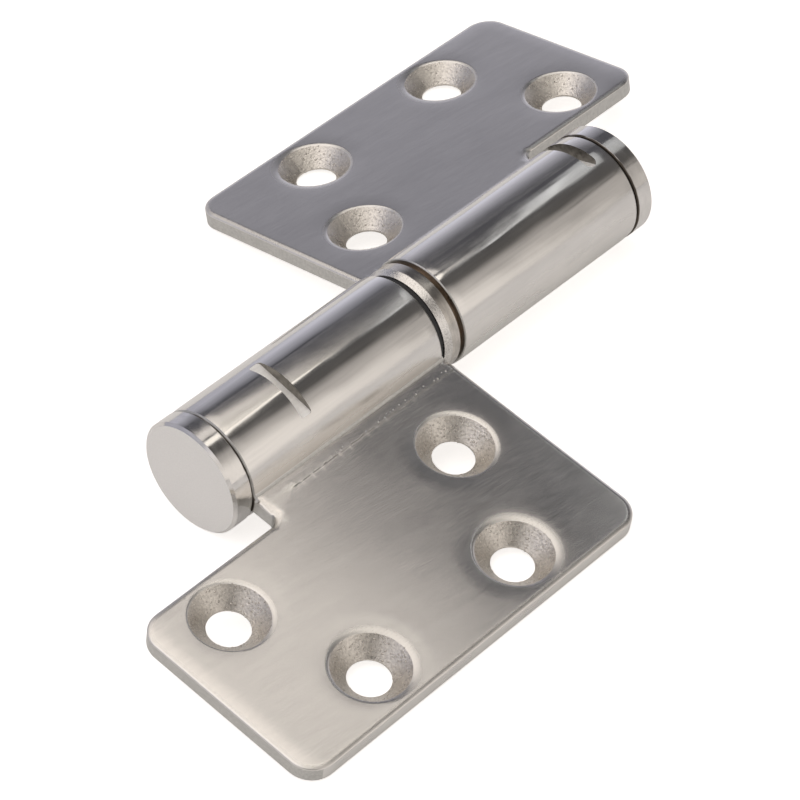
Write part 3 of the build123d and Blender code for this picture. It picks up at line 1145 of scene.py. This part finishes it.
crumb_tree = build_crumb_tree()
for number, (side, piece) in enumerate(leaves.items()):
    crumbs = plain_result(f"{side}_crumbs", piece.data, crumb_tree, {
        "Zone": zones.index("blasted_countersink"), "Gap": crumb_gaps[side], "Per square metre": 6e6,
        "Smallest": 0.07 * MM, "Largest": 0.18 * MM, "Flatness": 0.34, "Seed": 11 + number,
        "Finish": leaf_metals["blasted_countersink"],
    })
    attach(crumbs, f"{side}_leaf")

# %% [markdown]
# Along the edge of the raised land next to the knuckle, the mould left a line of small beads
# of steel, close together near the middle of the hinge and fewer further out. They follow a
# line, so the tree makes points along a line that is given as a mesh edge, keeps them with a
# chance that falls along it, and shifts each a little to one side.

# %% Beads along the land
bead_line = (4.0, 31.0)     # from where to where along the pin
bead_reach, bead_height = 11.0, 1.2
bead_chance, bead_thinning = 0.75, 0.6  # the share that stays at first, and how much it falls


def build_bead_tree():
    """Small balls in a loose row along an edge, fewer and fewer towards its end."""
    tree, given, output = new_tree("cast_beads", [
        ("Count", "Int", 60), ("Sideways", "Float", 0.2 * MM), ("Smallest", "Float", 0.1 * MM),
        ("Largest", "Float", 0.2 * MM), ("Flatness", "Float", 0.6), ("Seed", "Int", 1),
        ("Finish", "Material", None),
    ])
    line = add(tree, "GeometryNodeMeshToCurve", {"Mesh": given["Geometry"]}).outputs[0]
    points = add(tree, "GeometryNodeCurveToPoints", {
        "Curve": line, "Count": given["Count"],
    }, mode="COUNT").outputs[0]
    passed = maths(tree, "DIVIDE", add(tree, "GeometryNodeInputIndex").outputs[0], given["Count"])
    chance = random_between(tree, 0.0, 1.0, maths(tree, "ADD", given["Seed"], 5))
    chance = maths(tree, "MULTIPLY_ADD", passed, bead_thinning, chance)
    dropped = maths(tree, "GREATER_THAN", chance, bead_chance)
    kept = add(tree, "GeometryNodeDeleteGeometry", {
        "Geometry": points, "Selection": dropped,
    }, domain="POINT").outputs[0]
    sideways = random_between(tree, -1.0, 1.0, maths(tree, "ADD", given["Seed"], 6))
    sideways = maths(tree, "MULTIPLY", sideways, given["Sideways"])
    shift = add(tree, "ShaderNodeCombineXYZ", {"X": sideways}).outputs[0]
    kept = add(tree, "GeometryNodeSetPosition", {"Geometry": kept, "Offset": shift}).outputs[0]
    balls = balls_on(tree, kept, (0.0, 0.0, 0.0), given, given["Seed"])
    tree.links.new(balls, output.inputs["Geometry"])
    return tree


bead_tree = build_bead_tree()
for number, side in enumerate(leaves):
    axes = leaf_axes[side]
    line = bpy.data.meshes.new(f"{side}_bead_line")
    line.from_pydata([axes.point(bead_reach, along, bead_height) for along in bead_line], [(0, 1)], [])
    beads = plain_result(f"{side}_beads", line, bead_tree, {
        "Count": 42, "Sideways": 0.24 * MM, "Smallest": 0.07 * MM, "Largest": 0.14 * MM,
        "Flatness": 0.8, "Seed": 3 + number, "Finish": leaf_metals["polished_knuckle"],
    })
    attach(beads, f"{side}_leaf")

# %% [markdown]
# The pin and the plug end in a flat head each. Its side was turned and polished with the
# knuckle, and its flat face was left satin, so that face looks pale and even from anywhere.
# Where a face ends is told by how far along the pin it lies.

# %% Heads
face_place = 45.47
satin_colour, satin_roughness = (0.80, 0.785, 0.765), 0.46


def head_steel(tree, place):
    """Polished on the side, satin on the flat face, with painted shade in the joint."""
    split = add(tree, "ShaderNodeSeparateXYZ", {0: place})
    along = maths(tree, "ABSOLUTE", split.outputs["Y"])
    on_face = maths(tree, "GREATER_THAN", along, face_place)
    turned = marks(tree, place, 3.0, 0.12, shift=4.0)
    haze = marks(tree, place, 2.2, 1.4, shift=9.0)
    swell = marks(tree, place, 5.0, 6.0, shift=5.0, detail=1.0)
    grain = marks(tree, place, 0.22, 0.22, shift=3.0)
    side = shade(tree, steel_colour, haze, 0.93, 1.04)
    satin = shade(tree, satin_colour, grain, 0.97, 1.02)
    colour = blend_colour(tree, on_face, side, satin)
    side_rough = hazed(tree, spread(tree, turned, *usual, 0.08, 0.13), haze)
    rough = blend(tree, on_face, side_rough, satin_roughness)
    # the joint with the knuckle is painted dark, as its shade
    colour, rough = with_joint_shade(tree, colour, rough, seam_shade(tree, place))
    waves = relief(tree, swell, 0.05)
    return {"Base Color": colour, "Roughness": rough, "Normal": relief(tree, turned, 0.0010, waves)}


head_metal = metal("head_steel", head_steel)

# %% [markdown]
# The thrust ring is a plain turned ring whose bevel was broken roughly by hand. The bevel is
# bright and torn, the rest is smoother, with lines running round and a brown film of old
# grease. Two materials would meet in a ruled line, so one material tells the two apart by the
# place along the pin, and a noise lets the boundary wander a little.

# %% Ring
bevel_end = -0.05           # where the ring's bevel ends along the pin
torn_colour, film_colour = (0.80, 0.775, 0.745), (0.60, 0.565, 0.52)


def ring_steel(tree, place):
    """Torn bright steel on the bevel, turned steel under a brown film beside it."""
    split = add(tree, "ShaderNodeSeparateXYZ", {0: place})
    torn = marks(tree, place, 0.35, 0.30, detail=3.0, rough=0.65)
    turned = marks(tree, place, 2.6, 0.13, shift=4.0)
    film = marks(tree, place, 2.4, 1.3, shift=2.0)
    wander = maths(tree, "MULTIPLY_ADD", torn, 0.8, -0.40)
    past_bevel = maths(tree, "ADD", split.outputs["Y"], wander)
    on_side = spread(tree, past_bevel, bevel_end - 0.05, bevel_end + 0.10)
    bevel = shade(tree, torn_colour, torn, 0.70, 1.08)
    side = shade(tree, film_colour, film, 0.72, 1.05)
    side = shade(tree, side, turned, 0.90, 1.05)
    colour = blend_colour(tree, on_side, bevel, side)
    bevel_rough = spread(tree, torn, *usual, 0.22, 0.36)
    side_rough = spread(tree, film, *usual, 0.17, 0.27)
    rough = blend(tree, on_side, bevel_rough, side_rough)
    lines = relief(tree, turned, 0.0012)
    rugged = relief(tree, blend(tree, on_side, torn, 0.5), 0.035, lines)
    return {"Base Color": colour, "Roughness": rough, "Normal": rugged}


ring_metal = metal("ring_steel", ring_steel)

# %% [markdown]
# Then the small parts. The keys are bright milled steel, left so rough by the cutter that
# they scatter light almost as paint does and hardly mirror anything, which is why so little
# of their shader is metallic. The bush is oiled bronze that has gone nearly black, and the
# washer is dark plastic with a dull moulded skin.

# %% Small parts
key_colour, key_metallic = (0.98, 0.965, 0.94), 0.12
bronze_colour = (0.16, 0.115, 0.08)
plastic_colour = (0.022, 0.022, 0.023)


def key_steel(tree, place):
    """Milled along the pin and left matte."""
    milled = marks(tree, place, 0.5, 3.0, shift=2.0, detail=3.0)
    grain = marks(tree, place, 0.20, 0.20, shift=5.0)
    return {
        "Base Color": shade(tree, key_colour, milled, 0.90, 1.02), "Metallic": key_metallic,
        "Roughness": spread(tree, grain, *usual, 0.27, 0.38), "Normal": relief(tree, grain, 0.012),
    }


def bush_bronze(tree, place):
    """Oiled and gone dark, with a film in patches."""
    film = marks(tree, place, 1.6, 0.6)
    colour = shade(tree, bronze_colour, film, 0.55, 1.25)
    return {"Base Color": colour, "Roughness": spread(tree, film, *usual, 0.34, 0.50)}


def washer_plastic(tree, place):
    """Black plastic as it comes from a mould."""
    grain = marks(tree, place, 0.25, 0.25)
    colour = shade(tree, plastic_colour, grain, 0.7, 1.2)
    rough = spread(tree, grain, *usual, 0.50, 0.64)
    return {"Base Color": colour, "Metallic": 0.0, "Roughness": rough}


key_metal = metal("key_steel", key_steel)
node_metals = {
    "hinge_pin": head_metal, "upper_end_plug": head_metal, "thrust_ring": ring_metal,
    "lower_locking_key": key_metal, "upper_locking_key": key_metal,
    "upper_bush": metal("bush_bronze", bush_bronze),
    "sliding_washer": metal("washer_plastic", washer_plastic),
}
for node, material in node_metals.items():
    mesh = frame["nodes"][node].data
    mesh.materials.clear()
    mesh.materials.append(material)
